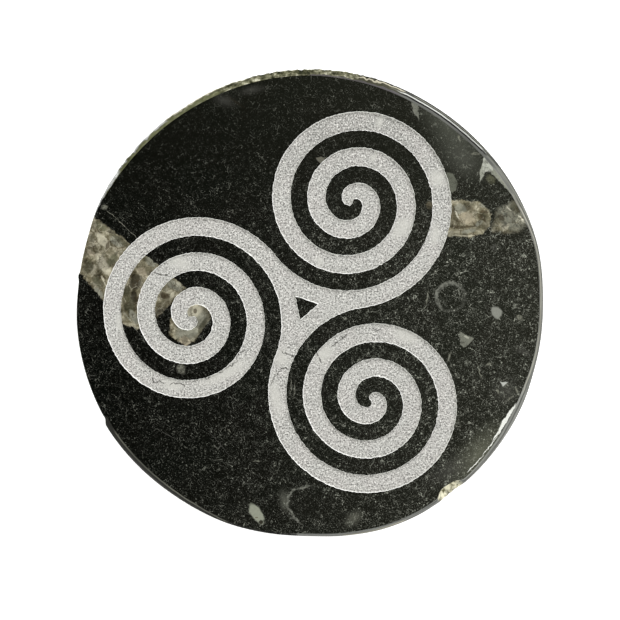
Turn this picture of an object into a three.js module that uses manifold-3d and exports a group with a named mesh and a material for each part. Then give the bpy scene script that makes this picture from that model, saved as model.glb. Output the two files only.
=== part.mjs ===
// Orthoceras fossil disc: one round slab of black fossil limestone, with a three-armed spiral cut into its face.
// Millimetres, +Z up, face up. The origin is on the underside, in the middle of the outline.

import * as THREE from 'three';
import { mergeVertices } from 'three/addons/utils/BufferGeometryUtils.js';
import Module from 'manifold-3d';

const wasm = await Module();
wasm.setup();

// Slab
const RADIUS = 50;
const THICKNESS = 9;
const RIM_STEP_DEG = 2;
const WALL_LEAN = 0.5;
const FOOT_CHAMFER = 0.8;

// The rim is ground by hand. Each pair is an angle in degrees and how far the outline stands out there.
const RIM_OFFSETS = [
  [0, 0.05], [17, 0.48], [34, 0.35], [45, 0.2], [58, 0.1], [76, 0.3], [90, 0.23], [122, 0.03], [150, 0.08],
  [164, -0.42], [174, -0.3], [186, 0.2], [206, 0.5], [209, 0.52], [211, 1.32], [222, 1.1], [236, 0.7],
  [248, 0.55], [258, 0.22], [270, -0.05], [280, 0.42], [291, 0.93], [298, 1], [306, 0.78], [320, 0.7],
  [335, 0.57], [345, 0.18], [352, 0.12],
];

// The bevel between face and wall. Each pair is an angle in degrees and the bevel's width seen from above.
const BEVEL_WIDTHS = [
  [0, 0.85], [15, 0.8], [25, 1.2], [40, 1.5], [52, 1.75], [75, 1.75], [90, 1.5], [130, 1.3], [150, 0.8],
  [160, 0.3], [172, 0.15], [208, 0.15], [211, 1.4], [222, 1.4], [240, 1.2], [254, 0.5], [270, 0.65],
  [300, 0.9], [304, 0.9], [307, 2.1], [310, 1.9], [313, 0.8], [325, 1.2], [335, 1.4], [350, 0.85],
];
const BEVEL_SLOPE = 0.5;

// Spiral engraving: three equal arms, each an even spiral round its own eye
const GROOVE_DEPTH = 0.5;
const DESIGN_X = -0.2;
const DESIGN_Y = -0.03;
const ARMS = 3;
const EYE_DISTANCE = 24.43;
const EYE_ANGLE = 65.4;
const PITCH = 7.5;
const BAND = 3.92;
const SPIRAL_STEP_DEG = 10;

// The band ends at the eye in a round tip, with the uncut channel hooked round it.
const INNER_END_DEG = 760;
const OUTER_END_DEG = 920;
const HOOK = { x: 0.75, y: -0.09, radius: 0.72, from: 85, to: 175 };
const TIP = { x: -0.7, y: 0, radius: 0.73, from: -15, to: -120 };
const EYE_ARC_STEPS = 4;

// A small island of face is left in the middle, with three corners.
const ISLAND_RADIUS = 2.95;
const ISLAND_ANGLE = 12;

const CUTTER_ABOVE_FACE = 1;

function radians(degrees) {
  return THREE.MathUtils.degToRad(degrees);
}

// One pair of a closed list, counting on past either end of it
function closedPair(pairs, index) {
  const turns = Math.floor(index / pairs.length);
  const [angle, value] = pairs[index - turns * pairs.length];
  return [angle + 360 * turns, value];
}

function slopeAtPair(pairs, index) {
  const [before, here, after] = [index - 1, index, index + 1].map((item) => closedPair(pairs, item));
  const rise = (here[1] - before[1]) / (here[0] - before[0]);
  const nextRise = (after[1] - here[1]) / (after[0] - here[0]);
  return rise * nextRise > 0 ? (2 * rise * nextRise) / (rise + nextRise) : 0;
}

// Reads a closed list of pairs as a smooth curve that never swings past its points.
function valueAtAngle(pairs, angle) {
  const low = pairs.findLastIndex((pair) => pair[0] <= angle);
  const [lowAngle, lowValue] = closedPair(pairs, low);
  const [highAngle, highValue] = closedPair(pairs, low + 1);
  const span = highAngle - lowAngle;
  const share = (angle - lowAngle) / span;
  const ease = share * share * (3 - 2 * share);
  const leaving = slopeAtPair(pairs, low) * span * share * (1 - share) ** 2;
  const arriving = slopeAtPair(pairs, low + 1) * span * share ** 2 * (1 - share);
  return lowValue + (highValue - lowValue) * ease + leaving - arriving;
}

// The slab's section at one angle, from the underside up to the face: [distance from the axis, height]
function rimSection(angle) {
  const outer = RADIUS + valueAtAngle(RIM_OFFSETS, angle);
  const bevel = valueAtAngle(BEVEL_WIDTHS, angle);
  return [
    [outer - WALL_LEAN - FOOT_CHAMFER, 0],
    [outer - WALL_LEAN, FOOT_CHAMFER],
    [outer, THICKNESS - BEVEL_SLOPE * bevel],
    [outer - bevel, THICKNESS],
  ];
}

function slabGeometry() {
  const points = [];
  const faces = [];
  const columns = 360 / RIM_STEP_DEG;
  const rows = rimSection(0).length;
  for (let column = 0; column < columns; column += 1) {
    const angle = column * RIM_STEP_DEG;
    for (const [distance, height] of rimSection(angle)) {
      points.push(distance * Math.cos(radians(angle)), distance * Math.sin(radians(angle)), height);
    }
  }
  const bottomCentre = columns * rows;
  const topCentre = bottomCentre + 1;
  points.push(0, 0, 0, 0, 0, THICKNESS);
  for (let column = 0; column < columns; column += 1) {
    const here = column * rows;
    const there = ((column + 1) % columns) * rows;
    for (let row = 0; row < rows - 1; row += 1) {
      faces.push(here + row, there + row, there + row + 1);
      faces.push(here + row, there + row + 1, here + row + 1);
    }
    faces.push(bottomCentre, there, here);
    faces.push(topCentre, here + rows - 1, there + rows - 1);
  }
  const geometry = new THREE.BufferGeometry();
  geometry.setAttribute('position', new THREE.Float32BufferAttribute(points, 3));
  geometry.setIndex(faces);
  return geometry;
}

// Angles at which neighbouring arms touch, and the spiral radii that make them touch there
function armLayout() {
  const towardsNext = EYE_ANGLE - 180 / ARMS / 2;
  const outerTouch = towardsNext - 360 / ARMS;
  const innerTouch = towardsNext - 180;
  const eyeSpacing = 2 * EYE_DISTANCE * Math.sin(Math.PI / ARMS);
  const radiiSum = eyeSpacing + (PITCH * (outerTouch + innerTouch)) / 360;
  const outerStart = (radiiSum + BAND) / 2;
  return { outerTouch, innerTouch, outerStart, innerStart: outerStart - BAND };
}

function spiralPoint(start, angle) {
  const radius = start - (PITCH * angle) / 360;
  return new THREE.Vector2(radius * Math.cos(radians(angle)), radius * Math.sin(radians(angle)));
}

function spiralPoints(start, from, to) {
  const steps = Math.round((to - from) / SPIRAL_STEP_DEG);
  const points = [];
  for (let step = 0; step < steps; step += 1) {
    points.push(spiralPoint(start, from + ((to - from) * step) / steps));
  }
  return points;
}

function arcPoints({ x, y, radius, from, to }) {
  const points = [];
  for (let step = 0; step <= EYE_ARC_STEPS; step += 1) {
    const angle = radians(from + ((to - from) * step) / EYE_ARC_STEPS);
    points.push(new THREE.Vector2(x + radius * Math.cos(angle), y + radius * Math.sin(angle)));
  }
  return points;
}

// One arm's share of the outline: in along the band's inner edge, round the eye and out along its outer edge
function armOutline() {
  const { outerTouch, innerTouch, outerStart, innerStart } = armLayout();
  const inward = spiralPoints(innerStart, innerTouch, INNER_END_DEG);
  const outward = spiralPoints(outerStart, outerTouch, OUTER_END_DEG).reverse();
  return [...inward, ...arcPoints(HOOK), ...arcPoints(TIP), ...outward.slice(0, -1)];
}

// The island's corners run against the outline, as a hole's points do.
function islandCorners() {
  const corners = [];
  for (let arm = 0; arm < ARMS; arm += 1) {
    const angle = radians(ISLAND_ANGLE + (arm * 360) / ARMS);
    corners.push(new THREE.Vector2(ISLAND_RADIUS * Math.cos(angle), ISLAND_RADIUS * Math.sin(angle)));
  }
  return corners;
}

function engravingShape() {
  const middle = new THREE.Vector2();
  const eye = new THREE.Vector2(EYE_DISTANCE, 0).rotateAround(middle, radians(EYE_ANGLE));
  const outline = [];
  for (let arm = 0; arm < ARMS; arm += 1) {
    const turn = radians(-(arm * 360) / ARMS);
    outline.push(...armOutline().map((point) => point.add(eye).rotateAround(middle, turn)));
  }
  const shape = new THREE.Shape(outline);
  shape.holes.push(new THREE.Path(islandCorners()));
  return shape;
}

function engravingGeometry() {
  const depth = GROOVE_DEPTH + CUTTER_ABOVE_FACE;
  const geometry = new THREE.ExtrudeGeometry(engravingShape(), { depth, bevelEnabled: false });
  return geometry.translate(DESIGN_X, DESIGN_Y, THICKNESS - GROOVE_DEPTH);
}

function toSolid(geometry) {
  geometry.deleteAttribute('normal');
  geometry.deleteAttribute('uv');
  const merged = mergeVertices(geometry);
  const vertProperties = new Float32Array(merged.attributes.position.array);
  const triVerts = new Uint32Array(merged.index.array);
  return new wasm.Manifold(new wasm.Mesh({ numProp: 3, vertProperties, triVerts }));
}

function toGeometry(solid) {
  const mesh = solid.getMesh();
  const geometry = new THREE.BufferGeometry();
  geometry.setAttribute('position', new THREE.BufferAttribute(mesh.vertProperties, 3));
  geometry.setIndex(new THREE.BufferAttribute(mesh.triVerts, 1));
  geometry.computeVertexNormals();
  return geometry;
}

function fossilDisc() {
  const solid = toSolid(slabGeometry()).subtract(toSolid(engravingGeometry()));
  const stone = new THREE.MeshStandardMaterial({ color: 0x24251f, roughness: 0.3, metalness: 0 });
  const mesh = new THREE.Mesh(toGeometry(solid), stone);
  mesh.name = 'fossil_disc';
  return mesh;
}

const group = new THREE.Group();
group.add(fossilDisc());

export default group;
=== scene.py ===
# Orthoceras fossil disc: a round slab of black fossil limestone with a triple spiral blasted into its face.
# Metres, +Z up. The disc lies face up on a pale floor and the camera looks down on it.

import math
import random
from functools import partialmethod

import bpy
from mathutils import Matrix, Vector, noise
from mathutils.geometry import delaunay_2d_cdt


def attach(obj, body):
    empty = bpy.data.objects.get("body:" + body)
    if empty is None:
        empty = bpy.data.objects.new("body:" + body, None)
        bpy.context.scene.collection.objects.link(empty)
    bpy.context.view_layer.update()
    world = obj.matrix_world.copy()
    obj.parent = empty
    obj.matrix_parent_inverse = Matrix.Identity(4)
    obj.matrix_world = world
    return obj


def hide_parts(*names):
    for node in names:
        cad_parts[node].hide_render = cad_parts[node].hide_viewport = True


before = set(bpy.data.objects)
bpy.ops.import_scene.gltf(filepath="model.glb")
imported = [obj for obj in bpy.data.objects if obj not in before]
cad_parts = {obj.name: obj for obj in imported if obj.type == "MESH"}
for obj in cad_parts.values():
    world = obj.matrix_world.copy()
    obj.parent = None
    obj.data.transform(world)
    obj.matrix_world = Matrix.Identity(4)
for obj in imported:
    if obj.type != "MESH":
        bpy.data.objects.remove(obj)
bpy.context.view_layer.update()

MM = 0.001

# Slab
RADIUS = 50 * MM
THICKNESS = 9 * MM
WALL_LEAN = 0.5 * MM
FOOT_CHAMFER = 0.8 * MM
BEVEL_SLOPE = 0.5
SKIN_INSET = 0.02 * MM
RIM_COLUMNS = 1080
BEVEL_ROWS = 6
WALL_ROWS = 9
CHAMFER_ROWS = 2

# The rim is ground by hand. Each pair is an angle in degrees and how far the outline stands out there.
RIM_OFFSETS = [(angle, offset * MM) for angle, offset in (
    (0, 0.05), (17, 0.48), (34, 0.35), (45, 0.2), (58, 0.1), (76, 0.3), (90, 0.23), (122, 0.03),
    (150, 0.08), (164, -0.42), (174, -0.3), (186, 0.2), (206, 0.5), (209, 0.52), (211, 1.32), (222, 1.1),
    (236, 0.7), (248, 0.55), (258, 0.22), (270, -0.05), (280, 0.42), (291, 0.93), (298, 1), (306, 0.78),
    (320, 0.7), (335, 0.57), (345, 0.18), (352, 0.12),
)]

# The bevel between face and wall, in the same way: how wide it is, seen from above
BEVEL_WIDTHS = [(angle, width * MM) for angle, width in (
    (0, 0.85), (15, 0.8), (25, 1.2), (40, 1.5), (52, 1.75), (75, 1.75), (90, 1.5), (130, 1.3), (150, 0.8),
    (160, 0.3), (172, 0.15), (208, 0.15), (211, 1.4), (222, 1.4), (240, 1.2), (254, 0.5), (270, 0.65),
    (300, 0.9), (304, 0.9), (307, 2.1), (310, 1.9), (313, 0.8), (325, 1.2), (335, 1.4), (350, 0.85),
)]

# Stretches of the rim in degrees: where each begins, is full, starts to fade and is over
ROUGH_STRETCH = (62, 76, 146, 158)
CHIP_STRETCH = (304, 306.5, 310, 312.5)
NUB_STRETCH = (171.2, 172.4, 172.6, 174.2)

# How much the bevel bulges, sinks in the chip and is pitted, and how far the nub stands out
BEVEL_CROWN = 0.07
CHIP_SINK = 0.3
ROUGH_PIT = 0.16 * MM
CHIP_PIT = 0.14 * MM
NUB_REACH = 0.32 * MM

# Spiral engraving: three equal arms, each an even spiral round its own eye
GROOVE_DEPTH = 0.35 * MM
DESIGN = Vector((-0.2 * MM, -0.03 * MM))
ARMS = 3
EYE_DISTANCE = 24.43 * MM
EYE_ANGLE = 65.4
PITCH = 7.5 * MM
BAND = 3.92 * MM
INNER_END_DEG = 760
OUTER_END_DEG = 920
HOOK = {"x": 0.75 * MM, "y": -0.09 * MM, "radius": 0.72 * MM, "start": 85, "end": 175}
TIP = {"x": -0.7 * MM, "y": 0, "radius": 0.73 * MM, "start": -15, "end": -120}
ISLAND_RADIUS = 2.95 * MM
ISLAND_ANGLE = 12
EDGE_STEP = 0.21 * MM
WALL_RUN = 0.22 * MM

# Spacing of the mesh's loose points, and the share of it that each may stray
BLASTED_STEP = 0.3 * MM
FACE_STEP = 1.6 * MM
UNDERSIDE_STEP = 1.8 * MM
EDGE_CLEARANCE = 0.18 * MM
STRAY = 0.22

# Material slots of the disc
POLISHED, BLASTED, BEVEL, WALL, UNDERSIDE = range(5)

# Camera, fitted to the photo
CAMERA_PLACE = (15.845 * MM, 11.283 * MM, 207.94 * MM)
CAMERA_TILT = (-0.06071, 0.07412, -0.00076)
PICTURE_PIXELS = 620
FOCAL_PIXELS = 936
SENSOR_WIDTH = 36
HALF_PIXEL_SHIFT = 0.5 / PICTURE_PIXELS


def closed_pair(pairs, index):
    """One pair of a closed list, counting on past either end of it."""
    turns, place = divmod(index, len(pairs))
    angle, value = pairs[place]
    return angle + 360 * turns, value


def slope_at_pair(pairs, index):
    before, here, after = (closed_pair(pairs, item) for item in (index - 1, index, index + 1))
    rise = (here[1] - before[1]) / (here[0] - before[0])
    next_rise = (after[1] - here[1]) / (after[0] - here[0])
    if rise * next_rise <= 0:
        return 0
    return 2 * rise * next_rise / (rise + next_rise)


def value_at_angle(pairs, angle):
    """Reads a closed list of pairs as a smooth curve that never swings past its points."""
    low = max(index for index, pair in enumerate(pairs) if pair[0] <= angle)
    low_angle, low_value = closed_pair(pairs, low)
    high_angle, high_value = closed_pair(pairs, low + 1)
    span = high_angle - low_angle
    share = (angle - low_angle) / span
    ease = share * share * (3 - 2 * share)
    leaving = slope_at_pair(pairs, low) * span * share * (1 - share) ** 2
    arriving = slope_at_pair(pairs, low + 1) * span * share ** 2 * (1 - share)
    return low_value + (high_value - low_value) * ease + leaving - arriving


def eased(value, low, high):
    """0 below low, 1 above high and a smooth step between them."""
    share = min(1, max(0, (value - low) / (high - low)))
    return share * share * (3 - 2 * share)


def ripple(point, size, seed=0):
    """Smooth noise from about -1 to 1 whose bumps are about size across."""
    height = point[2] / size if len(point) > 2 else 0
    return noise.noise(Vector((point[0] / size, point[1] / size, height + seed)))


def with_next(points):
    """Each item of a closed list with the one after it."""
    return zip(points, points[1:] + points[:1])


def polar(radius, degrees):
    angle = math.radians(degrees)
    return Vector((radius * math.cos(angle), radius * math.sin(angle)))


def rotated(point, degrees):
    angle = math.radians(degrees)
    cosine, sine = math.cos(angle), math.sin(angle)
    return Vector((point.x * cosine - point.y * sine, point.x * sine + point.y * cosine))


def spiral_points(start, first, last):
    """Points along a spiral whose radius falls by one pitch a turn, an even step apart."""
    points = []
    angle = first
    while angle < last:
        radius = start - PITCH * angle / 360
        points.append(polar(radius, angle))
        angle += math.degrees(EDGE_STEP / radius)
    return points


def arc_points(x, y, radius, start, end):
    steps = math.ceil(math.radians(abs(end - start)) * radius / EDGE_STEP)
    turns = (start + (end - start) * step / steps for step in range(steps + 1))
    return [Vector((x, y)) + polar(radius, turn) for turn in turns]


def arm_outline():
    """One arm's share of the outline: in along the band's inner edge, round the eye and out again."""
    towards_next = EYE_ANGLE - 180 / ARMS / 2
    outer_touch = towards_next - 360 / ARMS
    inner_touch = towards_next - 180
    eye_spacing = 2 * EYE_DISTANCE * math.sin(math.pi / ARMS)
    radii_sum = eye_spacing + PITCH * (outer_touch + inner_touch) / 360
    outer_start = (radii_sum + BAND) / 2
    inward = spiral_points(outer_start - BAND, inner_touch, INNER_END_DEG)
    outward = spiral_points(outer_start, outer_touch, OUTER_END_DEG)[::-1]
    return inward + arc_points(**HOOK) + arc_points(**TIP) + outward[:-1]


def engraving_outline():
    eye = polar(EYE_DISTANCE, EYE_ANGLE)
    points = []
    for arm in range(ARMS):
        turn = -360 * arm / ARMS
        points += [rotated(point + eye, turn) + DESIGN for point in arm_outline()]
    return points


def island_outline():
    corners = [polar(ISLAND_RADIUS, ISLAND_ANGLE + 360 * arm / ARMS) + DESIGN for arm in range(ARMS)]
    points = []
    for corner, following in with_next(corners):
        steps = round((following - corner).length / EDGE_STEP)
        points += [corner.lerp(following, step / steps) for step in range(steps)]
    return points


def signed_area(points):
    return sum(a.x * b.y - a.y * b.x for a, b in with_next(points)) / 2


def anticlockwise(points):
    return points if signed_area(points) > 0 else points[::-1]


def shifted(points, distance):
    """A closed anticlockwise outline moved inwards, by a number or by a function of the point."""
    amount = distance if callable(distance) else lambda point: distance
    moved = []
    for before, point, after in zip(points[-1:] + points[:-1], points, points[1:] + points[:1]):
        along = (after - before).normalized()
        moved.append(point + Vector((-along.y, along.x)) * amount(point))
    return moved


def chipped(point):
    """How far the blasted edge wanders into or out of the face at a point."""
    wander = 0.05 * MM * ripple(point, 1.6 * MM, 3.1)
    grain = 0.12 * MM * ripple(point, 0.5 * MM, 7.7)
    nick = max(0, ripple(point, 2.2 * MM, 12.3) - 0.2) * ripple(point, 0.5 * MM, 5.2)
    return wander + grain + 0.5 * MM * nick


def inside_rows(rings, step):
    """Where closed rings cross each row of a grid, in order of x."""
    rows = {}
    for ring in rings:
        for start, end in with_next(ring):
            low, high = sorted((start.y, end.y))
            for row in range(math.ceil(low / step), math.floor(high / step) + 1):
                y = row * step
                if low <= y < high:
                    crossing = start.x + (end.x - start.x) * (y - start.y) / (end.y - start.y)
                    rows.setdefault(row, []).append(crossing)
    return {row: sorted(crossings) for row, crossings in rows.items()}


def scattered(rings, step, draw):
    """Jittered points of a triangular grid that lie between the rings."""
    points = []
    row_step = step * math.sin(math.pi / 3)
    for row, crossings in sorted(inside_rows(rings, row_step).items()):
        offset = step / 2 * (row % 2)
        for start, end in zip(crossings[::2], crossings[1::2]):
            for column in range(math.ceil((start - offset) / step), math.floor((end - offset) / step) + 1):
                x = column * step + offset + draw.uniform(-STRAY, STRAY) * step
                y = row * row_step + draw.uniform(-STRAY, STRAY) * step
                points.append(Vector((x, y)))
    return points


def triangles_between(coords, rings):
    """Triangulates all the points, and keeps what lies inside an odd number of rings."""
    edges = [edge for ring in rings for edge in with_next(ring)]
    flat = [Vector((point.x / MM, point.y / MM)) for point in coords]
    found, _, faces, sources, _, _ = delaunay_2d_cdt(flat, edges, [], 1, 1e-7)
    if len(found) != len(coords):
        raise ValueError("an outline crosses itself")
    faces = [tuple(sources[corner][0] for corner in face) for face in faces]
    borders = {frozenset(edge) for edge in edges}
    sides = {}
    for index, face in enumerate(faces):
        for side in with_next(face):
            sides.setdefault(frozenset(side), []).append(index)
    start = sides[frozenset(edges[0])][0]
    kept = {start: True}
    waiting = [start]
    while waiting:
        here = waiting.pop()
        face = faces[here]
        for side in with_next(face):
            side = frozenset(side)
            for there in sides[side]:
                if there not in kept:
                    kept[there] = kept[here] != (side in borders)
                    waiting.append(there)
    return [face for index, face in enumerate(faces) if kept.get(index)]


class Shell:
    """The disc's skin under construction: points, faces and each face's material slot."""

    def __init__(self):
        self.points = []
        self.faces = []
        self.looks = []

    def add(self, points):
        first = len(self.points)
        self.points += points
        return list(range(first, len(self.points)))

    def outline(self, ring):
        """A ring as seen from above."""
        return [self.points[index].to_2d() for index in ring]

    def cover(self, faces, look):
        self.faces += faces
        self.looks += [look] * len(faces)

    def strip(self, inner, outer, look):
        """Joins two anticlockwise rings of equal count with faces that look up and outwards."""
        self.cover(list(zip(inner, outer, outer[1:] + outer[:1], inner[1:] + inner[:1])), look)

    def fill(self, rings, borders, step, height, look, seed, facing_up=True):
        """Covers the area between rings, over points scattered between borders."""
        loose = self.add(raised(scattered(borders, step, random.Random(seed)), height))
        used = [index for ring in rings for index in ring] + loose
        place = {index: position for position, index in enumerate(used)}
        local_rings = [[place[index] for index in ring] for ring in rings]
        faces = triangles_between([self.points[index] for index in used], local_rings)
        faces = [tuple(used[corner] for corner in face) for face in faces]
        if not facing_up:
            faces = [face[::-1] for face in faces]
        self.cover(faces, look)


def raised(points, height):
    """Lifts flat points to a height: a number, or a function of the point."""
    level = height if callable(height) else lambda point: height
    return [Vector((point.x, point.y, level(point))) for point in points]


def blasted_height(point):
    """The rough floor that the blast left."""
    wave = 0.035 * MM * ripple(point, 2.2 * MM, 1.3)
    grain = 0.045 * MM * ripple(point, 0.62 * MM, 4.4)
    return THICKNESS - GROOVE_DEPTH + wave + grain


def share_of(stretch, angle):
    """1 inside a stretch of the rim, 0 outside it and a smooth change at its ends."""
    begins, full, ends, over = stretch
    return eased(angle, begins, full) * (1 - eased(angle, ends, over))


def rim_spot(distance, angle, height):
    spot = polar(distance, angle)
    return Vector((spot.x, spot.y, height))


def rim_column(angle):
    """The skin from the face's edge down to the underside at one angle, as distances and heights."""
    outer = RADIUS + value_at_angle(RIM_OFFSETS, angle) - SKIN_INSET
    bevel = value_at_angle(BEVEL_WIDTHS, angle)
    rough = share_of(ROUGH_STRETCH, angle)
    chip = share_of(CHIP_STRETCH, angle)
    shoulder = THICKNESS - BEVEL_SLOPE * bevel
    column = []
    for row in range(BEVEL_ROWS + 1):
        share = row / BEVEL_ROWS
        distance = outer - bevel * (1 - share)
        height = THICKNESS - (THICKNESS - shoulder) * share
        crown = math.sin(math.pi * share) * bevel
        flank = rim_spot(distance, angle, height)
        bump = ripple(flank, 0.9 * MM, 21) + 0.6 * ripple(flank, 0.4 * MM, 8) - 0.5
        lift = BEVEL_CROWN * crown * (1 - chip) - CHIP_SINK * chip * crown
        pit = eased(share, 0, 0.3) * (ROUGH_PIT * rough + CHIP_PIT * chip) * bump
        column.append((distance + lift + min(0, pit), height + lift * BEVEL_SLOPE + min(0, pit)))
    foot = outer - WALL_LEAN
    for row in range(1, WALL_ROWS + 1):
        share = row / WALL_ROWS
        distance = outer + (foot - outer) * share
        height = shoulder + (FOOT_CHAMFER - shoulder) * share
        spot = rim_spot(distance, angle, height)
        worn = 0.05 * (ripple(spot, 3 * MM, 2) - 1) + 0.035 * (ripple(spot, 0.8 * MM, 6) - 1)
        raw = 0.12 * (rough + chip) * (1 - share) * (ripple(spot, 0.7 * MM, 9) - 0.6)
        column.append((distance + (worn + min(0, raw)) * MM, height))
    for row in range(1, CHAMFER_ROWS + 1):
        share = row / CHAMFER_ROWS
        round_in = 1 - math.cos(math.pi / 2 * share)
        round_down = math.sin(math.pi / 2 * share)
        column.append((foot - 0.1 * MM - FOOT_CHAMFER * round_in, FOOT_CHAMFER * (1 - round_down)))
    nub = share_of(NUB_STRETCH, angle)
    return [(distance + nub * NUB_REACH * (1 - eased(row, 2, 12)), height)
            for row, (distance, height) in enumerate(column)]


def rim_rings():
    """The rim's skin as closed rings of points, from the face's edge to the underside's."""
    angles = [360 * column / RIM_COLUMNS for column in range(RIM_COLUMNS)]
    rows = zip(*(rim_column(angle) for angle in angles))
    return [[rim_spot(distance, angle, height) for angle, (distance, height) in zip(angles, row)]
            for row in rows]


def build_rim(shell):
    """Adds the bevel, the wall and the foot, and gives back the first and the last ring."""
    rings = [shell.add(ring) for ring in rim_rings()]
    for row, (inner, outer) in enumerate(zip(rings, rings[1:])):
        shell.strip(inner, outer, BEVEL if row < BEVEL_ROWS else WALL)
    return rings[0], rings[-1]


def build_engraving(shell):
    """Adds the cut's walls and floor, and gives back the cut's two edges in the face."""
    outline = anticlockwise(engraving_outline())
    island = anticlockwise(island_outline())
    edge = shifted(outline, chipped)
    knee = shifted(outline, lambda point: 0.4 * WALL_RUN + 0.8 * chipped(point))
    foot = shifted(outline, lambda point: WALL_RUN + 0.4 * chipped(point))
    island_edge = shifted(island, chipped)
    island_foot = shifted(island, -WALL_RUN)
    knee_height = THICKNESS - 0.7 * GROOVE_DEPTH
    edge_ring = shell.add(raised(edge, THICKNESS))
    knee_ring = shell.add(raised(knee, lambda point: knee_height + 0.08 * MM * ripple(point, 0.5 * MM, 2)))
    foot_ring = shell.add(raised(foot, blasted_height))
    island_edge_ring = shell.add(raised(island_edge, THICKNESS))
    island_foot_ring = shell.add(raised(island_foot, blasted_height))
    shell.strip(knee_ring, edge_ring, BLASTED)
    shell.strip(foot_ring, knee_ring, BLASTED)
    shell.strip(island_edge_ring, island_foot_ring, BLASTED)
    clear_of_walls = [shifted(foot, EDGE_CLEARANCE), shifted(island_foot, -EDGE_CLEARANCE)]
    rings = [foot_ring, island_foot_ring]
    shell.fill(rings, clear_of_walls, BLASTED_STEP, blasted_height, BLASTED, seed=5)
    return edge_ring, island_edge_ring


def build_face(shell, rim, cut, island):
    """Adds the polished face round the cut, and the island in the middle of it."""
    borders = [shifted(shell.outline(rim), FACE_STEP / 2), shifted(shell.outline(cut), -FACE_STEP / 3)]
    shell.fill([rim, cut, island], borders, FACE_STEP, THICKNESS, POLISHED, seed=8)


def build_underside(shell, rim):
    borders = [shifted(shell.outline(rim), UNDERSIDE_STEP / 2)]
    shell.fill([rim], borders, UNDERSIDE_STEP, 0, UNDERSIDE, seed=13, facing_up=False)


# Bake layout: a circle for the top, a smaller one for the underside and four strips for the wall
BAKE_REACH = 51.2 * MM
TOP_CENTRE = Vector((0.41, 0.41))
TOP_SCALE = 0.40 / BAKE_REACH
UNDERSIDE_CENTRE = Vector((0.82, 0.82))
UNDERSIDE_SCALE = 0.165 / BAKE_REACH
STRIP_LENGTH = 0.62
STRIP_HEIGHT = 0.07
STRIP_CORNERS = [Vector((0.01, 0.835)), Vector((0.01, 0.92)), Vector((0.835, 0.01)), Vector((0.92, 0.01))]


def wall_spot(point, quarter):
    """Where a point of the wall lies in the bake, on the strip of its quarter of the rim."""
    angle = math.degrees(math.atan2(point.y, point.x)) % 360
    along = (angle / 90 - quarter + 2) % 4 - 2
    up = point.z / THICKNESS * STRIP_HEIGHT
    corner = STRIP_CORNERS[quarter]
    if quarter < 2:
        return corner + Vector((along * STRIP_LENGTH, up))
    return corner + Vector((up, along * STRIP_LENGTH))


def lay_out_bake(mesh):
    layer = mesh.uv_layers.new(name="OFBake")
    for face in mesh.polygons:
        middle = math.degrees(math.atan2(face.center.y, face.center.x)) % 360
        for loop in face.loop_indices:
            point = mesh.vertices[mesh.loops[loop].vertex_index].co
            if face.material_index == WALL:
                spot = wall_spot(point, int(middle // 90))
            elif face.material_index == UNDERSIDE:
                spot = UNDERSIDE_CENTRE + point.to_2d() * UNDERSIDE_SCALE
            else:
                spot = TOP_CENTRE + point.to_2d() * TOP_SCALE
            layer.data[loop].uv = spot


def stone_disc():
    shell = Shell()
    face_edge, foot_edge = build_rim(shell)
    build_face(shell, face_edge, *build_engraving(shell))
    build_underside(shell, foot_edge)
    mesh = bpy.data.meshes.new("stone_disc")
    mesh.from_pydata(shell.points, [], shell.faces)
    mesh.polygons.foreach_set("material_index", shell.looks)
    mesh.polygons.foreach_set("use_smooth", [look in (BEVEL, WALL) for look in shell.looks])
    mesh.validate()
    mesh.update()
    lay_out_bake(mesh)
    disc = bpy.data.objects.new("stone_disc", mesh)
    bpy.context.collection.objects.link(disc)
    return disc


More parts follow.
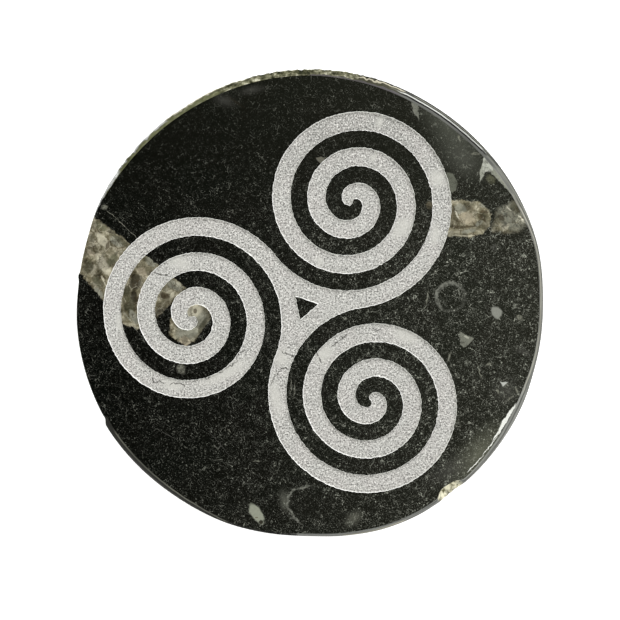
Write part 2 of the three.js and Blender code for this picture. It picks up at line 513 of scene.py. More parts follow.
class Graph:
    """A node tree under construction. Its methods take numbers or sockets and hand back a socket."""

    def __init__(self, tree):
        self.tree = tree

    def feed(self, target, value):
        if isinstance(value, bpy.types.NodeSocket):
            self.tree.links.new(value, target)
        else:
            target.default_value = value

    def add(self, kind, inputs, output=0, **settings):
        node = self.tree.nodes.new("ShaderNode" + kind)
        for name, value in settings.items():
            setattr(node, name, value)
        for name, value in inputs.items():
            self.feed(node.inputs[name], value)
        return node.outputs[output]

    def math(self, operation, *values):
        return self.add("Math", dict(enumerate(values)), operation=operation)

    def vector(self, operation, *values):
        output = "Value" if operation in ("DOT_PRODUCT", "DISTANCE") else "Vector"
        return self.add("VectorMath", dict(enumerate(values)), output, operation=operation)

    def scaled(self, vector, scale):
        return self.add("VectorMath", {"Vector": vector, "Scale": scale}, operation="SCALE")

    def parts(self, vector):
        return self.add("SeparateXYZ", {"Vector": vector}).node.outputs

    def joined(self, x, y):
        return self.add("CombineXYZ", {"X": x, "Y": y})

    def step(self, value, low, high, bottom=0, top=1):
        """Bottom at low, top at high and a smooth step between. Low may be the larger of the two."""
        if low > high:
            return self.step(value, high, low, top, bottom)
        inputs = {"Value": value, "From Min": low, "From Max": high, "To Min": bottom, "To Max": top}
        return self.add("MapRange", inputs, interpolation_type="SMOOTHSTEP", clamp=False)

    def lerp(self, value, low, high):
        """Turns a value from 0 to 1 into one from low to high."""
        inputs = {"Value": value, "To Min": low, "To Max": high}
        return self.add("MapRange", inputs)

    def noise(self, place, frequency, detail=2, roughness=0.5, output="Fac"):
        inputs = {"Vector": place, "Scale": frequency, "Detail": detail, "Roughness": roughness}
        return self.add("TexNoise", inputs, output)

    def cells(self, place, frequency, output="Distance", feature="F1"):
        inputs = {"Vector": place, "Scale": frequency}
        return self.add("TexVoronoi", inputs, output, feature=feature)

    def mix(self, share, low, high):
        """Mixes two colours, which are the node's sockets 6 and 7 and its output 2."""
        return self.add("Mix", {"Factor": share, 6: low, 7: high}, 2, data_type="RGBA")

    def ramp(self, value, stops):
        """A colour ramp. Each stop is a position from 0 to 1 and a colour."""
        colour = self.add("ValToRGB", {"Fac": value})
        elements = colour.node.color_ramp.elements
        while len(elements) < len(stops):
            elements.new(1)
        for element, (position, tone) in zip(elements, stops):
            element.position = position
            element.color = tone
        return colour

    def chain(self, operation, result, *values):
        for value in values:
            result = self.math(operation, result, value)
        return result

    times = partialmethod(chain, "MULTIPLY")
    most = partialmethod(chain, "MAXIMUM")
    least = partialmethod(chain, "MINIMUM")
    less = partialmethod(chain, "SUBTRACT")
    plus = partialmethod(chain, "ADD")

    def group(self, tree, place):
        """Puts a node group in and hands back its outputs."""
        return self.add("Group", {"Place": place}, node_tree=tree).node.outputs


# How bright a white surface lies in the soft light. Tones below are as they look in it, from 0 to 255.
LIGHT_LEVEL = 1.25


def shown(red, green, blue):
    """The paint that looks like this in the soft light, as a linear colour."""
    def linear(value):
        share = value / 255
        return share / 12.92 if share <= 0.04045 else ((share + 0.055) / 1.055) ** 2.4
    return (*(linear(value) / LIGHT_LEVEL for value in (red, green, blue)), 1)


PALE = shown(208, 204, 186)
CREAM = shown(178, 173, 154)
TAN = shown(146, 137, 118)
GREY = shown(130, 130, 118)
CLAY = shown(98, 91, 75)
OLIVE = shown(90, 90, 72)
MOSS = shown(62, 61, 46)
BROWN = shown(60, 51, 37)
SLATE = shown(70, 69, 66)
INK = shown(32, 28, 21)
BLACK = shown(12, 12, 10)

# Places below are seen from above, in millimetres. The outlines are convex and run anticlockwise.
# The long fossil at the left: a band from the rim inwards, and its end round the left eye
LEFT_BAND = [
    (-52.6, 11.5), (-46.4, 3.9), (-39.7, -3.9), (-36.7, -5.1), (-33, -3.4), (-28.8, 0.8), (-25.7, 3.8),
    (-31.8, 8.8), (-39, 14.3), (-45, 18.7), (-52, 23.5),
]
LEFT_END = [
    (-31.5, -5.1), (-25.9, -8.6), (-24.3, -7.6), (-22.6, -5.7), (-21.1, -3.4), (-19.9, -1.2), (-20.8, 0.6),
    (-24, 1.8), (-28.9, 1.2), (-29.3, -2.6),
]

# The two blocks of the fossil at the right
RIGHT_INNER = [
    (29.5, 15), (34.5, 14.7), (37.2, 15.4), (38.7, 16.9), (39.1, 19.2), (38.3, 20.9), (36.4, 22.1),
    (33.4, 22.5), (29.5, 22.4),
]
RIGHT_OUTER = [
    (39.3, 16.2), (42, 15.6), (44.5, 15.9), (46.5, 17.4), (48.5, 19.6), (47.5, 22.6), (43.3, 21.9),
    (40.4, 20.4),
]

# Crystals of the two fossils as soft ellipses, one over another: x, y, half length, half width, turn in
# degrees and tone
CRYSTALS = [
    (-44.4, 17.2, 1.5, 0.9, -35, OLIVE), (-44, 14.2, 2.2, 0.9, -50, CREAM),
    (-42.9, 12.9, 1.1, 0.4, 80, BROWN), (-40.9, 13.9, 1.7, 0.9, -40, GREY),
    (-41.9, 9.9, 1.5, 0.9, 53, OLIVE), (-46.5, 11.4, 1, 0.5, -20, TAN), (-47.1, 8.6, 1.7, 0.9, 75, MOSS),
    (-43.9, 9, 2.8, 1, -60, CREAM), (-43.8, 5.3, 1.3, 0.25, -70, CREAM), (-45.2, 5.1, 1.3, 0.7, -60, OLIVE),
    (-45, 2.9, 1.5, 0.6, -50, GREY), (-33.3, 9.6, 1.5, 0.9, -35, GREY), (-35.5, 7.3, 1.3, 0.9, -50, TAN),
    (-36.9, 5.1, 1.9, 1.4, 60, INK), (-38.9, 3.1, 1.5, 0.7, 75, MOSS), (-37.1, 1.8, 1.5, 0.8, -70, INK),
    (-38.4, 0.4, 2.4, 1.3, -75, MOSS), (-37.4, -2.3, 1.7, 0.7, -60, GREY),
    (-38.5, -2.5, 1.9, 0.13, -51, GREY), (-28.3, 4.5, 2.1, 1, -30, GREY), (-28.8, 2.5, 0.8, 0.4, 70, CREAM),
    (-30.5, 2.2, 1.2, 0.8, -10, BROWN), (-24.6, -4, 4.2, 2.6, 40, GREY), (-24.4, -1, 2, 1.5, 0, CREAM),
    (-26.2, -7.6, 1.3, 1, -30, TAN), (-23.9, -1.1, 0.5, 0.35, 90, BROWN), (-22.3, -4.2, 2.2, 0.6, 62, MOSS),
    (-38.4, 12.9, 5.5, 0.6, -37, MOSS), (-31.4, -2.4, 2.6, 1.7, 65, BLACK),
    (-30.1, -2.1, 2.6, 0.12, -60, TAN), (32.6, 20.7, 1.3, 1.1, -30, GREY), (33.9, 18.6, 1.9, 1.3, -10, TAN),
    (31.9, 19.5, 1.1, 0.2, -68, PALE), (30.9, 19.9, 1.3, 0.3, 85, CLAY), (34.9, 20.6, 1.3, 0.5, -10, CLAY),
    (37.4, 21.3, 1.1, 0.5, -15, GREY), (37.6, 20, 0.9, 0.35, 0, BROWN), (37.2, 18.6, 1, 0.4, -50, BROWN),
    (36.4, 17.5, 0.9, 0.4, 40, GREY), (33.3, 16.9, 2.8, 0.25, 3, BROWN), (34.3, 15.9, 1.5, 0.5, 5, GREY),
    (33.1, 15, 3, 0.15, 0, CREAM), (43.2, 19, 4.4, 2.5, -40, GREY), (44, 20.6, 1.4, 0.8, -40, MOSS),
    (41.9, 19.4, 2.8, 0.5, -60, GREY), (42.4, 20.9, 1.5, 0.13, -45, PALE), (46.2, 20.3, 1.7, 1, -55, GREY),
    (41.1, 18.8, 0.8, 0.7, -50, BROWN), (42.1, 16.7, 1, 0.45, 45, CREAM), (45.2, 18.6, 1, 0.13, -42, PALE),
    (45.8, 17.8, 0.8, 0.13, -45, PALE), (39.2, 18.4, 1.7, 0.25, 85, INK),
]

# Small fossils with crisp edges: corners and tone
FACETS = [
    ([(38.7, 28.9), (39, 28), (40.8, 26.1), (43.3, 23.5), (44.4, 22.7), (42.8, 26.1), (40.4, 29.2)],
     shown(144, 146, 134)),
    ([(37.3, 31.1), (36.6, 28.2), (36.7, 26.2), (37.6, 28.2)], shown(162, 164, 152)),
    ([(37, 30), (37.3, 28.2), (38.8, 28.4), (39.6, 29.4), (37.5, 32.1)], shown(186, 188, 177)),
    ([(29.6, 28.1), (30.3, 24.5), (31, 24.1), (31.6, 24.5), (32, 25.7), (31.6, 26.8), (30.6, 28.2)],
     shown(100, 102, 92)),
    ([(22.3, 42.8), (22.6, 41.1), (23.8, 39), (23.8, 40.7), (23.7, 42.3)], shown(120, 121, 112)),
    ([(2.1, 31.6), (3.2, 30.3), (4.5, 31.7)], shown(104, 102, 92)),
    ([(32.7, -5.2), (32.8, -7.8), (33.6, -8.7), (34.6, -7.8), (35.7, -6.6)], shown(118, 119, 109)),
    ([(41.2, -15.6), (41.9, -16.8), (42.9, -15.8)], shown(192, 194, 188)),
]

# Hazy patches deep in the stone, under its flecks, in the same order as the crystals
HAZES = [
    (30, 37.8, 7.5, 3.4, -50, shown(88, 90, 82)), (33, 31, 5, 3.2, -40, shown(80, 81, 75)),
    (37, -31.2, 7, 3, 52, shown(112, 113, 98)), (30.6, -34.8, 4.2, 2.2, 35, SLATE),
    (42.5, -17.7, 2.7, 2.4, 0, SLATE), (-17.2, 43.7, 2.4, 1.2, -20, SLATE),
    (-11.4, 45.8, 2.6, 0.8, 10, SLATE), (-4.6, -42.2, 1, 2.2, 12, shown(104, 105, 96)),
    (10.4, -45.7, 1.9, 1.2, 40, shown(110, 110, 100)), (45.9, -9.3, 1.8, 0.7, -20, SLATE),
]

# Small fossils and faint spots with soft edges, in the same order
TRACES = [
    (41.8, 25.6, 3, 0.14, -52, CREAM), (38.8, 26.7, 1.1, 0.9, -40, OLIVE), (32.2, 35.3, 0.7, 0.25, 95, GREY),
    (26.3, 21.4, 1, 0.8, 0, CLAY), (-14.6, 43.3, 2.4, 0.2, -35, INK), (25.8, 2, 1.7, 0.14, 84, GREY),
    (44.7, -17.6, 0.7, 0.2, -60, GREY), (43.4, -19.3, 0.8, 0.2, 50, GREY),
    (40.7, -17.8, 0.6, 0.2, -60, GREY), (38.8, -12.1, 0.7, 0.3, 20, GREY),
    (36.9, -13.6, 1.7, 0.12, -75, GREY), (30.6, -10.5, 1.1, 0.25, 70, GREY),
    (45.1, -2.1, 0.8, 0.5, -20, GREY), (39.7, 12.5, 0.9, 0.5, 80, SLATE), (35.6, 32.1, 0.9, 0.3, 0, GREY),
    (-10.7, -33.6, 0.8, 0.2, 0, GREY), (-16.6, -26.9, 0.7, 0.15, -45, GREY),
    (-3.2, -17.3, 1.9, 0.12, 88, GREY), (-2.4, -17.9, 1.6, 0.1, 84, GREY), (-43.5, 21.3, 0.7, 0.6, 0, GREY),
    (-27, -13.6, 0.9, 1.1, 20, GREY), (-37.6, -4.6, 1.5, 0.12, -42, GREY),
    (-18.9, -29.7, 4, 0.1, -49, SLATE), (-30.6, -27.8, 3.2, 0.1, -30, SLATE),
    (2.3, -10.9, 0.5, 0.8, 0, SLATE),
]

# Small round shells with a firm edge, and a painted highlight: the bright crescent of light reflected on the
# rim at the lower right, in the same order
CRESCENT_HIGHLIGHT = shown(238, 239, 233)
SPOTS = [
    (-10.7, -45.2, 2.6, 1.15, -56, shown(144, 147, 133)), (-10.7, -46, 0.4, 0.15, 20, CLAY),
    (-9.7, -46.9, 0.6, 0.45, 20, INK), (40.3, -1.1, 1.35, 1.1, -60, shown(134, 135, 128)),
    (34, -6.3, 0.6, 0.3, -20, shown(160, 160, 148)), (42.7, -23.4, 3.4, 0.3, 58, CRESCENT_HIGHLIGHT),
    (41.2, -26.3, 2.6, 0.22, 55, CRESCENT_HIGHLIGHT),
]

# The dark inside of the shell arc, in the same order
SHELL_INSIDE = (1.4, -43.4, 4.6, 3.9, 0, BLACK)

# Thin lines through these points
SHELL_ARC = [(0.9, -38.7), (-2.6, -39.6), (-3.9, -41.5), (-4, -43.5), (-2.5, -45.7), (-1.3, -47)]
VEIN = [(-43, 20.6), (-41.1, 19.1), (-38.7, 16.7), (-36.3, 14.6)]
# A painted highlight: the bright crescent of light reflected along the rim at the lower right
CRESCENT_HIGHLIGHT_LINE = [(45.5, -19.3), (43.9, -22), (40.8, -27.5), (37.7, -31.7), (34.6, -35.2)]

# The crinoid ring: its middle and radius
CRINOID = (30.7, 2.1, 2.95)

# Where the blast met calcite the cut is smoother and paler.
SMOOTH = shown(200, 199, 193)
SMOOTH_CUTS = [
    (15.7, 38.9, 1.5, 0.9, 60), (14.4, 31.5, 1.2, 0.6, 60), (27.9, 27, 2.2, 2, 0), (20.5, 16.7, 3, 1.8, 45),
    (27.4, 15.1, 2.1, 1.1, 80), (3, 9.8, 1.1, 0.9, 90), (-5.4, -10.9, 2.4, 1.9, -60),
    (21.4, -6.2, 3.3, 1.6, -20), (4, -10.1, 2.7, 1.8, 40), (-27.4, 9.4, 3, 1.6, -20),
    (-17.4, -14.2, 6.5, 1.7, 26), (-40.4, -3.6, 2.4, 1.2, 100), (-29.2, -17, 3, 1.3, -10),
    (-6.5, -19.5, 4.5, 1.4, -80),
]

# Thin wiggly seams that the blast left dark
SEAMS = [
    [(-17.6, -13.4), (-15.2, -12.2), (-14.6, -10.2), (-13, -9.4)],
    [(-5.3, -9.6), (-3.8, -10.4), (-2.2, -11.1)], [(-5.6, -13.6), (-4.6, -13.3), (-3.3, -13.3)],
    [(-7.6, -16.8), (-6.7, -15.3), (-5.6, -14)], [(5.6, -8.5), (7.5, -6.8), (9.2, -5.9)],
    [(14.3, -4.6), (14.9, -5.3), (16, -4.8)], [(2.3, -10), (2.8, -10.9), (3.2, -11.8)],
    [(-33.6, -15.6), (-32.8, -17), (-31.8, -16.2), (-31, -17.2)],
    [(-29.6, -17), (-27.5, -16.6), (-26.4, -17.4)], [(-33.2, 7.2), (-31, 6.6), (-29.5, 6.8)],
    [(-19.5, -13.2), (-18.9, -14.6), (-17.9, -14.2)], [(-22.6, -15.3), (-21.6, -15.9), (-20.6, -15.2)],
]

# Bands on the bevel: first and last degree, where they begin and end across it, tone and how much of it. The
# near-white and whitish ones are painted highlights.
BEVEL_BANDS = [
    (-21, 38, 0, 2, shown(116, 117, 112), 0.9), (-21, 28, 0.15, 0.32, PALE, 0.25),
    (12, 40, 0.5, 2, shown(100, 101, 96), 0.8), (20, 42, 0.62, 0.72, GREY, 0.5), (26, 50, 1, 2, INK, 0.6),
    (38, 67, 0, 0.42, shown(98, 99, 95), 0.95), (38, 67, 0.8, 2, shown(60, 61, 58), 0.95),
    # Painted highlight: the near-white line from 42 to 68 degrees, light reflected on the bevel
    (41, 66, 0.36, 0.64, BLACK, 1), (42, 68, 0.64, 0.8, shown(205, 207, 201), 0.95),
    (40, 62, 1.15, 1.25, GREY, 0.8), (67, 77, 0.4, 1.1, MOSS, 0.9), (66, 77, 1.1, 1.35, CREAM, 0.8),
    (67, 88, 0, 0.35, shown(80, 77, 78), 0.9), (112, 150, 0, 2, shown(92, 94, 66), 0.8),
    # Painted highlights: the pale band from 114 to 128 degrees and the whitish bands from 128 to 162 degrees,
    # light reflected on the outer rim
    (112, 128, 0.95, 1.08, INK, 0.7), (114, 128, 1.08, 1.5, PALE, 0.7), (128, 145, 0.75, 0.9, INK, 0.7),
    (128, 162, 0.9, 1.4, shown(192, 193, 192), 0.95), (145, 162, 0.3, 1.3, shown(192, 193, 192), 0.95),
    (-48, -21, 0, 2, shown(130, 131, 126), 0.85), (-48, -21, 0.4, 0.52, SLATE, 0.7),
    (-92, -57, 0, 2, shown(126, 127, 123), 0.8), (-80, -66, 0.4, 0.6, CREAM, 0.7),
    (-149, -105, 0, 2, shown(34, 34, 30), 0.85), (-146, -110, 0.1, 0.22, GREY, 0.4),
    (-140, -108, 0.8, 1.1, SLATE, 0.6),
]


def warped(graph, place, frequency, amount):
    """The place pushed about by noise, which makes straight edges ragged."""
    push = graph.vector("SUBTRACT", graph.noise(place, frequency, output="Color"), (0.5, 0.5, 0.5))
    return graph.vector("ADD", place, graph.scaled(push, amount))


def ragged_plan(graph, place):
    """The place with its height taken out, pushed about a little."""
    plan = graph.vector("MULTIPLY", place, (1, 1, 0))
    return warped(graph, warped(graph, plan, 0.7, 0.8), 2.6, 0.35)


def depth_below_face(graph, place):
    return graph.less(THICKNESS / MM, graph.parts(place)[2])


def polygon(graph, place, corners):
    """Distance to an outline, negative inside it."""
    sides = []
    for (x, y), (next_x, next_y) in with_next(corners):
        length = math.hypot(next_x - x, next_y - y)
        outward = ((next_y - y) / length, (x - next_x) / length, 0)
        reach = outward[0] * x + outward[1] * y
        sides.append(graph.less(graph.vector("DOT_PRODUCT", place, outward), reach))
    return graph.most(*sides)


def faceted(graph, place, body, facets):
    """Lays crisp flat shapes over a tone."""
    for corners, tone in facets:
        body = graph.mix(graph.step(polygon(graph, place, corners), 0.1, -0.1, top=0.9), body, tone)
    return body


def daubed(graph, place, body, daubs, blur=0.6, share=0.75):
    """Lays soft ellipses over a tone. Each fades out over a part of its size."""
    for x, y, half_length, half_width, turn, tone in daubs:
        spread = 1 + blur / 2
        placing = {
            "Vector": place, "Location": (x, y, 0), "Rotation": (0, 0, math.radians(turn)),
            "Scale": (half_length * spread, half_width * spread, 1),
        }
        local = graph.add("Mapping", placing, vector_type="TEXTURE")
        inside = graph.add("TexGradient", {"Vector": local}, "Fac", gradient_type="SPHERICAL")
        body = graph.mix(graph.step(inside, 0, blur, top=share), body, tone)
    return body


def line_daubs(points, width, tone):
    """Thin daubs end to end along a line."""
    daubs = []
    for (x, y), (next_x, next_y) in zip(points, points[1:]):
        half_length = math.hypot(next_x - x, next_y - y) / 2 + width / 2
        turn = math.degrees(math.atan2(next_y - y, next_x - x))
        daubs.append(((x + next_x) / 2, (y + next_y) / 2, half_length, width / 2, turn, tone))
    return daubs


def calcite_mask(graph, place, ragged):
    """1 in the two big fossils and 0 outside them. They narrow with depth, as round shells do."""
    ragged = warped(graph, ragged, 1.5, 0.9)
    left = graph.least(polygon(graph, ragged, LEFT_BAND), polygon(graph, ragged, LEFT_END))
    depth = depth_below_face(graph, place)
    narrowing = graph.times(depth, depth, 0.12)
    inner = graph.plus(polygon(graph, ragged, RIGHT_INNER), graph.times(narrowing, 2.5))
    outer = graph.plus(polygon(graph, ragged, RIGHT_OUTER), graph.times(narrowing, 2.5))
    patchy = graph.step(graph.noise(place, 0.9, 4, 0.7), 0.34, 0.52, 0.4, 1)
    crisp = graph.step(graph.least(graph.plus(left, narrowing), inner), 0.16, -0.16)
    return graph.most(crisp, graph.times(graph.step(outer, 0.7, -0.7), patchy))


def calcite(graph, place):
    """Tan and olive crystals with soft changes inside each, and where they are."""
    ragged = ragged_plan(graph, place)
    cloud = graph.noise(place, 0.55, 4, 0.6)
    body = graph.ramp(cloud, [
        (0.3, shown(46, 42, 30)), (0.42, shown(92, 87, 69)), (0.53, shown(117, 112, 94)),
        (0.66, shown(154, 149, 131)),
    ])
    body = daubed(graph, ragged, body, CRYSTALS, 0.4)
    edge = graph.cells(warped(graph, place, 0.5, 1.5), 0.5, "Distance", "DISTANCE_TO_EDGE")
    thread = graph.times(graph.step(edge, 0.05, 0), graph.step(graph.noise(place, 0.6), 0.46, 0.62), 0.5)
    body = graph.mix(thread, body, CREAM)
    crack = graph.cells(warped(graph, place, 0.9, 1.4), 0.8, "Distance", "DISTANCE_TO_EDGE")
    crack = graph.times(graph.step(crack, 0.09, 0), graph.step(graph.noise(place, 0.5), 0.42, 0.6), 0.75)
    body = graph.mix(crack, body, BROWN)
    block = graph.parts(graph.cells(warped(graph, place, 0.7, 1.3), 0.6, "Color"))[0]
    body = graph.scaled(body, graph.lerp(block, 0.68, 1.38))
    grain = graph.lerp(graph.noise(place, 2.2, 3, 0.7), 0.68, 1.34)
    return graph.scaled(body, grain), calcite_mask(graph, place, ragged)


# Crushed shell in the black stone: how pale its dust, threads and crumbs make it
DUST_LEVEL = 0.0000012
DUST_CONTRAST = 17
FELT_LEVEL = 0.19
THREAD_LEVEL = 0.26
CRUMB_LEVEL = 0.38


def fleck_level(graph, place):
    """How pale the crushed shell makes the stone: more so in some places, and towards the right."""
    crowd = graph.step(graph.noise(place, 0.35, 4, 0.7), 0.38, 0.66, 0.65, 1.3)
    across, along, _ = graph.parts(place)
    right = graph.step(across, -45, 48, 0.7, 2.45)
    top = graph.step(along, 36, 10, 0.4, 1.1)
    dust = graph.math("EXPONENT", graph.times(graph.noise(place, 4.3, 1.5, 0.8), DUST_CONTRAST))
    bent = warped(graph, place, 1.6, 0.6)
    felt = graph.math("ABSOLUTE", graph.less(graph.noise(bent, 1.3, 2), 0.5))
    felt = graph.times(graph.step(felt, 0.022, 0), graph.step(graph.noise(place, 1.5, 2), 0.48, 0.62))
    thread = graph.math("ABSOLUTE", graph.less(graph.noise(bent, 0.6, 1), 0.5))
    thread = graph.times(graph.step(thread, 0.016, 0), graph.step(graph.noise(place, 0.7, 1), 0.5, 0.64))
    crumb = graph.step(graph.cells(bent, 2), 0.36, 0.08)
    chance = graph.step(graph.parts(graph.cells(bent, 2, "Color"))[0], 0.78, 0.98)
    level = graph.plus(
        graph.times(dust, DUST_LEVEL), graph.times(felt, FELT_LEVEL), graph.times(thread, THREAD_LEVEL),
        graph.times(crumb, chance, CRUMB_LEVEL),
    )
    return graph.times(level, crowd, right, top)


def black_stone(graph, place):
    """Black limestone full of crushed shell, with its small fossils."""
    ragged = ragged_plan(graph, place)
    ground = graph.mix(graph.step(graph.noise(place, 0.1, 2), 0.4, 0.6), shown(2, 2, 1), shown(1, 2, 1))
    ground = daubed(graph, ragged, ground, HAZES, 1.5)
    stone = graph.mix(fleck_level(graph, place), ground, shown(166, 168, 156))
    stone = daubed(graph, ragged, stone, [SHELL_INSIDE], 1.2, 0.6)
    traces = daubed(graph, ragged, stone, TRACES + line_daubs(VEIN, 0.15, GREY))
    arc = line_daubs(SHELL_ARC, 0.55, shown(140, 141, 132))
    traces = daubed(graph, warped(graph, ragged, 1.2, 0.7), traces, arc, 0.9)
    x, y, radius = CRINOID
    ring = graph.math("ABSOLUTE", graph.less(graph.vector("DISTANCE", ragged, (x, y, 0)), radius))
    upper_left = graph.step(graph.vector("DOT_PRODUCT", ragged, (-0.7, 0.7, 0)), -23, -17, 0.2, 0.85)
    traces = graph.mix(graph.times(graph.step(ring, 0.6, 0.15), upper_left), traces, shown(124, 125, 117))
    stone = graph.mix(graph.step(graph.noise(place, 2.2, 3, 0.75), 0.4, 0.56, 0.25, 1), stone, traces)
    patches = faceted(graph, ragged, stone, FACETS)
    stone = graph.mix(graph.step(graph.noise(place, 1.5, 4, 0.8), 0.36, 0.53, 0.4, 1), stone, patches)
    # Small shells, and the painted highlight of the bright crescent at the lower right
    stone = daubed(graph, ragged, stone, SPOTS + line_daubs(CRESCENT_HIGHLIGHT_LINE, 0.2, CRESCENT_HIGHLIGHT), 0.3, 0.95)
    return graph.scaled(stone, graph.lerp(graph.noise(place, 3.4, 2, 0.8), 0.7, 1.3))


def limestone(graph, place):
    stone = graph.group(stone_parts["black_stone"], place)["Colour"]
    fossil = graph.group(stone_parts["calcite"], place)
    return graph.mix(fossil["Mask"], stone, fossil["Colour"])


def make_group(name, build, outputs):
    """A node group: a build function takes the place in millimetres and gives back what comes out."""
    tree = bpy.data.node_groups.new(name, "ShaderNodeTree")
    tree.interface.new_socket("Place", in_out="INPUT", socket_type="NodeSocketVector")
    for output, kind in outputs.items():
        tree.interface.new_socket(output, in_out="OUTPUT", socket_type=kind)
    results = build(Graph(tree), tree.nodes.new("NodeGroupInput").outputs["Place"])
    end = tree.nodes.new("NodeGroupOutput")
    for target, result in zip(end.inputs, results if isinstance(results, tuple) else [results]):
        tree.links.new(result, target)
    return tree


stone_parts = {
    "black_stone": make_group("black_stone", black_stone, {"Colour": "NodeSocketColor"}),
    "calcite": make_group("calcite", calcite, {"Colour": "NodeSocketColor", "Mask": "NodeSocketFloat"}),
}


def new_material(name):
    material = bpy.data.materials.new(name)
    material.use_nodes = True
    return material, material.node_tree.nodes["Principled BSDF"]


# Each finish takes a graph and a place in millimetres, and gives back its colour, roughness and height.
def polished_stone(graph, place):
    tint = limestone(graph, place)
    roughness = graph.lerp(graph.noise(place, 0.25, 4, 0.6), 0.05, 0.09)
    return tint, roughness, graph.noise(place, 0.8, 3)


BLASTED_ROUGHNESS = 0.9


def blasted_stone(graph, place):
    """The cut's matt surface: crushed pale stone with dark grains, smoother where it crosses calcite."""
    ragged = ragged_plan(graph, place)
    # Painted shade: the cut's tone is made darker towards the top of the disc, from 20 to 42 mm up, to stand
    # in for weaker light there
    far = graph.step(graph.parts(place)[1], 20, 42)
    tone = graph.mix(far, shown(187, 186, 182), shown(166, 165, 161))
    tone = graph.mix(graph.step(graph.noise(place, 0.2, 3), 0.42, 0.62, top=0.5), tone, shown(190, 186, 183))
    tone = graph.scaled(tone, graph.lerp(graph.noise(place, 1.1, 3, 0.7), 0.8, 1.18))
    fine = graph.noise(place, 2.9, 2, 0.9)
    tone = graph.mix(graph.step(fine, 0.51, 0.35, top=0.88), tone, shown(74, 73, 71))
    tone = graph.mix(graph.step(fine, 0.52, 0.66, top=0.85), tone, shown(250, 249, 244))
    chance = graph.step(graph.parts(graph.cells(place, 1.7, "Color"))[0], 0.7, 0.9, top=0.8)
    pit = graph.times(graph.step(graph.cells(place, 1.7), 0.34, 0.12), chance)
    tone = graph.mix(pit, tone, shown(70, 70, 67))
    tone = daubed(graph, ragged, tone, [(*cut, SMOOTH) for cut in SMOOTH_CUTS], 0.8)
    seams = [daub for points in SEAMS for daub in line_daubs(points, 0.26, INK)]
    tone = daubed(graph, warped(graph, ragged, 1.3, 1.1), tone, seams, 0.3)
    # The cut's walls are whitened all round: partly the crushed pale edge of the blast, partly a painted
    # highlight that gives the bright lines along the cut's edges
    wall = graph.step(depth_below_face(graph, place), 0.75 * GROOVE_DEPTH / MM, 0.45 * GROOVE_DEPTH / MM)
    return graph.mix(wall, tone, shown(252, 252, 248)), BLASTED_ROUGHNESS, fine


def angle_round_rim(graph, place):
    """Degrees from -180 to 180, anticlockwise from +X."""
    x, y, _ = graph.parts(place)
    return graph.times(graph.math("ARCTAN2", y, x), 180 / math.pi)


def between(graph, value, first, last, fade, top=1):
    """Top between two values, fading out a little way past each."""
    return graph.times(graph.step(value, first - fade, first), graph.step(value, last + fade, last, top=top))


def rim_stone(graph, place, angle):
    """The stone on the rim, with the cream rind along the top and in the chip, and how much of it is rind."""
    stone = limestone(graph, place)
    top = between(graph, angle, 80, 136, 9)
    wobble = graph.times(graph.less(graph.noise(place, 0.9, 3), 0.5), 4)
    shallow = graph.step(graph.plus(depth_below_face(graph, place), wobble), 3.4, 2.2)
    chip = graph.times(between(graph, graph.plus(angle, wobble), -54.8, -48.6, 0.8), shallow)
    lumps = graph.noise(place, 0.8, 4, 0.7)
    rind = graph.ramp(lumps, [
        (0.37, shown(34, 36, 20)), (0.44, shown(72, 72, 52)), (0.5, shown(104, 103, 82)),
        (0.57, shown(130, 129, 106)), (0.65, shown(196, 194, 174)),
    ])
    clean = graph.step(graph.noise(place, 1.1, 3, 0.7), 0.34, 0.52)
    cream = graph.mix(clean, shown(100, 97, 72), shown(218, 214, 190))
    return graph.mix(chip, graph.mix(top, stone, rind), cream), graph.most(top, chip)


def ground_bevel(graph, place):
    """The bevel: grey and less polished than the face, with lines along the rim, some of them painted
    highlights.
    """
    angle = angle_round_rim(graph, place)
    tint, rind = rim_stone(graph, place, angle)
    across = graph.times(depth_below_face(graph, place), 1 / BEVEL_SLOPE)
    across = graph.plus(across, graph.times(graph.less(graph.noise(place, 0.5, 2), 0.5), 0.2))
    ends = graph.plus(angle, graph.times(graph.less(graph.noise(place, 0.4, 2), 0.5), 6))
    lines = graph.noise(graph.joined(graph.times(angle, 0.05), graph.times(across, 3.5)), 1, 3, 0.7)
    lines = graph.step(lines, 0.3, 0.7)
    for first, last, inner, outer, tone, share in BEVEL_BANDS:
        along = between(graph, ends, first, last, 2)
        cover = graph.times(along, between(graph, across, inner, outer, 0.08, share))
        tint = graph.mix(cover, tint, tone)
    tint = graph.scaled(tint, graph.lerp(lines, 0.5, 1.5))
    roughness = graph.plus(graph.lerp(lines, 0.45, 0.6), graph.times(rind, 0.3))
    rough_height = graph.times(graph.noise(place, 1.6, 4, 0.7), graph.lerp(rind, 0.1, 0.6))
    return tint, roughness, graph.plus(graph.times(lines, 0.1), rough_height)


def ground_wall(graph, place):
    """The wall: ground round the disc, matt and a little dusty."""
    angle = angle_round_rim(graph, place)
    tint, rind = rim_stone(graph, place, angle)
    depth = depth_below_face(graph, place)
    marks = graph.noise(graph.joined(graph.times(angle, 0.12), graph.times(depth, 5)), 1, 4, 0.75)
    dust = graph.times(graph.step(marks, 0.35, 0.75), graph.lerp(graph.noise(place, 0.3, 3), 0.1, 0.45))
    tint = graph.mix(dust, tint, shown(104, 104, 100))
    roughness = graph.plus(graph.lerp(marks, 0.38, 0.6), graph.times(rind, 0.2))
    return tint, roughness, graph.plus(marks, graph.times(graph.noise(place, 1.5, 3), 0.6))


# The saw that cut the underside ran in from one side.
SAW_CENTRE = (-170, 60, 0)

# Noise is flat where a height is a whole number, so the underside reads it from a little higher up.
UNDERSIDE_LIFT = (0, 0, 0.37)


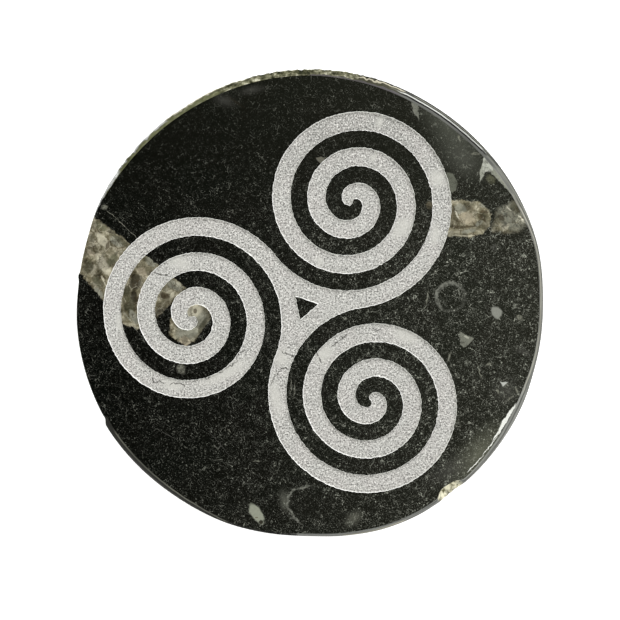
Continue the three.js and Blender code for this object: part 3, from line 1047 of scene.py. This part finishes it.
def sawn_underside(graph, place):
    """The underside: sawn and left matt, with the blade's arcs across it."""
    place = graph.vector("ADD", place, UNDERSIDE_LIFT)
    reach = graph.vector("DISTANCE", place, SAW_CENTRE)
    arcs = graph.noise(graph.joined(graph.times(reach, 1.4), 0), 1, 4, 0.7)
    stone = graph.mix(fleck_level(graph, place), shown(52, 52, 49), shown(170, 169, 160))
    worn = graph.step(arcs, 0.42, 0.66, top=0.35)
    tint = graph.mix(worn, stone, shown(112, 111, 106))
    roughness = graph.lerp(graph.noise(place, 0.4, 3), 0.55, 0.75)
    return tint, roughness, graph.plus(arcs, graph.times(graph.noise(place, 2.2, 2), 0.4))


# The finishes in the order of their slots: the bumps' depth in millimetres, their strength, and the gloss
FINISHES = [
    (polished_stone, 0.003, 1, 0.5), (blasted_stone, 0.06, 0.5, 0.25), (ground_bevel, 0.1, 1, 0.08),
    (ground_wall, 0.07, 1, 0.5), (sawn_underside, 0.08, 1, 0.5),
]


def stone_material(finish, depth, strength, gloss):
    material, shader = new_material(finish.__name__)
    graph = Graph(material.node_tree)
    place = graph.scaled(graph.add("TexCoord", {}, "Object"), 1 / MM)
    tint, roughness, height = finish(graph, place)
    bumps = graph.add("Bump", {"Height": height, "Distance": depth * MM, "Strength": strength})
    look = {"Base Color": tint, "Roughness": roughness, "Normal": bumps, "Specular IOR Level": gloss}
    for name, value in look.items():
        graph.feed(shader.inputs[name], value)
    return material


FLOOR_SIZE = 3
FLOOR_LOOK = {
    "Base Color": (0.93, 0.93, 0.93, 1), "Roughness": 0.9,
    "Emission Color": (1, 1, 1, 1), "Emission Strength": 0.45,
}


def pale_floor():
    bpy.ops.mesh.primitive_plane_add(size=FLOOR_SIZE)
    floor = bpy.context.object
    floor.name = "floor"
    material, shader = new_material("pale_floor")
    for name, value in FLOOR_LOOK.items():
        shader.inputs[name].default_value = value
    floor.data.materials.append(material)


# The room as the polished face mirrors it: bright at the sides, with a dark hood overhead towards the left
HOOD_PLACE = (-0.365, -0.115, 0)
HOOD_EDGE = (0.58, 0.68)
HOOD_LEVEL = 0.003
HOOD_RISE = 1.3
HOOD_TINT = (0.95, 1, 0.68, 1)
ROOM_LEVEL = 1.5


def soft_room():
    world = bpy.data.worlds.new("soft_room")
    world.use_nodes = True
    bpy.context.scene.world = world
    graph = Graph(world.node_tree)
    background = world.node_tree.nodes["Background"]
    x, y, z = graph.parts(graph.add("TexCoord", {}, "Generated"))
    reach = graph.vector("DISTANCE", graph.joined(x, y), HOOD_PLACE)
    inside = graph.plus(graph.times(reach, reach, HOOD_RISE), HOOD_LEVEL)
    overhead = graph.step(reach, *HOOD_EDGE, inside, ROOM_LEVEL)
    tint = graph.mix(graph.step(overhead, 0.3, 1.2), HOOD_TINT, (1, 1, 1, 1))
    level = graph.step(z, 0, 0.15, ROOM_LEVEL, overhead)
    graph.feed(background.inputs["Color"], graph.scaled(tint, level))


def soft_light(name, place, size, power):
    data = bpy.data.lights.new(name, "AREA")
    data.shape = "SQUARE"
    data.size = size
    data.energy = power
    light = bpy.data.objects.new(name, data)
    light.location = place
    light.rotation_euler = Vector(place).to_track_quat("Z", "Y").to_euler()
    bpy.context.collection.objects.link(light)


def photo_camera():
    data = bpy.data.cameras.new("camera")
    data.sensor_width = SENSOR_WIDTH
    data.lens = SENSOR_WIDTH * FOCAL_PIXELS / PICTURE_PIXELS
    data.shift_x = -HALF_PIXEL_SHIFT
    data.shift_y = HALF_PIXEL_SHIFT
    camera = bpy.data.objects.new("camera", data)
    camera.location = CAMERA_PLACE
    camera.rotation_euler = CAMERA_TILT
    bpy.context.collection.objects.link(camera)
    bpy.context.scene.camera = camera


photo_camera()
pale_floor()
soft_room()
soft_light("key", place=(0.36, 0.88, 0.52), size=0.35, power=7.5)
soft_light("fill", place=(-0.55, -0.6, 0.4), size=0.5, power=2.5)
disc = stone_disc()
for finish in FINISHES:
    disc.data.materials.append(stone_material(*finish))
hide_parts("fossil_disc")
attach(disc, "root")
bpy.context.scene.view_settings.view_transform = "Standard"
